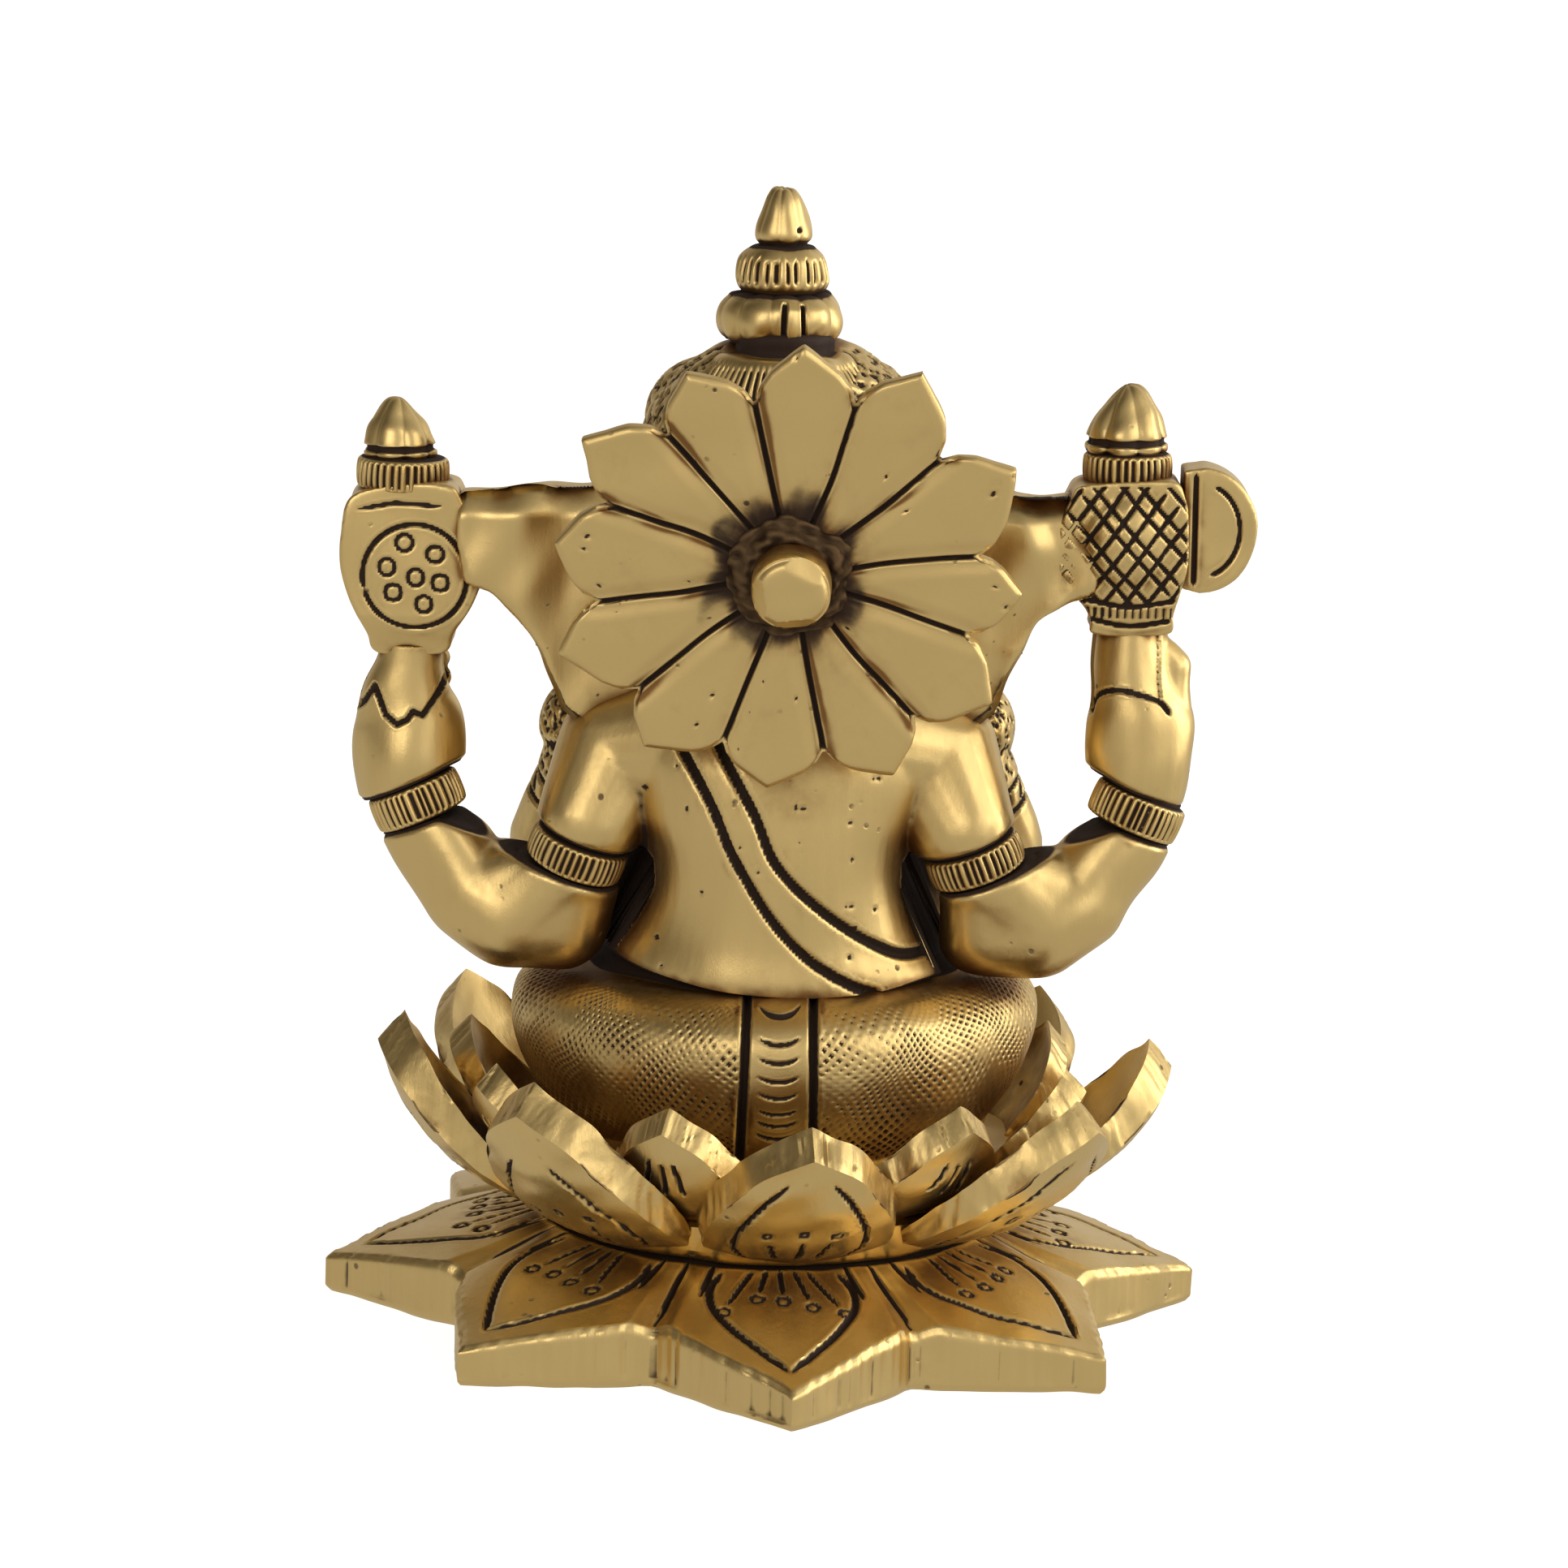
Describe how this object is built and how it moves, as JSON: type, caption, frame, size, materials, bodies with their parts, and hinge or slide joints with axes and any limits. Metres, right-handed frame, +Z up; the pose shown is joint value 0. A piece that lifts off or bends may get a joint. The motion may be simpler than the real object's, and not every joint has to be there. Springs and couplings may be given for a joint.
{
  "type": "seated deity figurine",
  "caption": "Solid brass seated four-armed elephant-headed deity on a lotus cup and a pointed star-shaped base, with a petalled rosette halo on a peg behind the head.",
  "frame": {"origin": "middle of the base plate's flat underside", "axes": "+Z up, the figure faces +Y, its own right hand is on the +X side"},
  "size_m": [0.0898, 0.0878, 0.1121],
  "materials": {
    "polished_brass": "hand polished, darkened in the grooves",
    "textured_brass": "punched and stippled, brown patina in the low places",
    "ribbed_brass": "chased ribs, brown patina between them",
    "halo_brass": "brushed, satin",
    "lotus_brass": "satin with filed rims and engraved lines",
    "base_brass": "satin with filed edges and engraved lines",
    "braze_metal": "rough, blackened by the torch"
  },
  "bodies": {
    "root": {"star_base": "base_brass", "lotus_outer_petals": "lotus_brass", "lotus_inner_petals": "lotus_brass", "fixing_rivet": "base_brass", "lower_body": "textured_brass", "left_leg": "polished_brass", "right_leg": "polished_brass", "torso": "polished_brass", "head": "textured_brass", "left_ear": "polished_brass", "right_ear": "polished_brass", "trunk": "polished_brass", "tusks": "polished_brass", "crown_band": "ribbed_brass", "crown_tier": "polished_brass", "crown_ring": "ribbed_brass", "crown_finial": "polished_brass", "halo_rosette": "halo_brass", "halo_peg": "halo_brass", "halo_braze_ring": "braze_metal", "left_armlet": "ribbed_brass", "left_forearm": "polished_brass", "left_bracelet": "ribbed_brass", "left_rear_hand": "polished_brass", "right_armlet": "ribbed_brass", "right_forearm": "polished_brass", "right_bracelet": "ribbed_brass", "right_rear_hand": "polished_brass", "left_emblem_body": "polished_brass", "left_emblem_collar": "ribbed_brass", "left_emblem_bud": "polished_brass", "right_emblem_body": "polished_brass", "right_emblem_collar": "ribbed_brass", "right_emblem_bud": "polished_brass", "axe_blade": "polished_brass", "left_front_arm": "polished_brass", "right_front_arm": "polished_brass", "left_front_bracelet": "ribbed_brass", "right_front_bracelet": "ribbed_brass", "left_front_hand": "polished_brass", "right_front_hand": "polished_brass", "sweet_bowl": "ribbed_brass", "sweets": "polished_brass"}
  },
  "joints": []
}
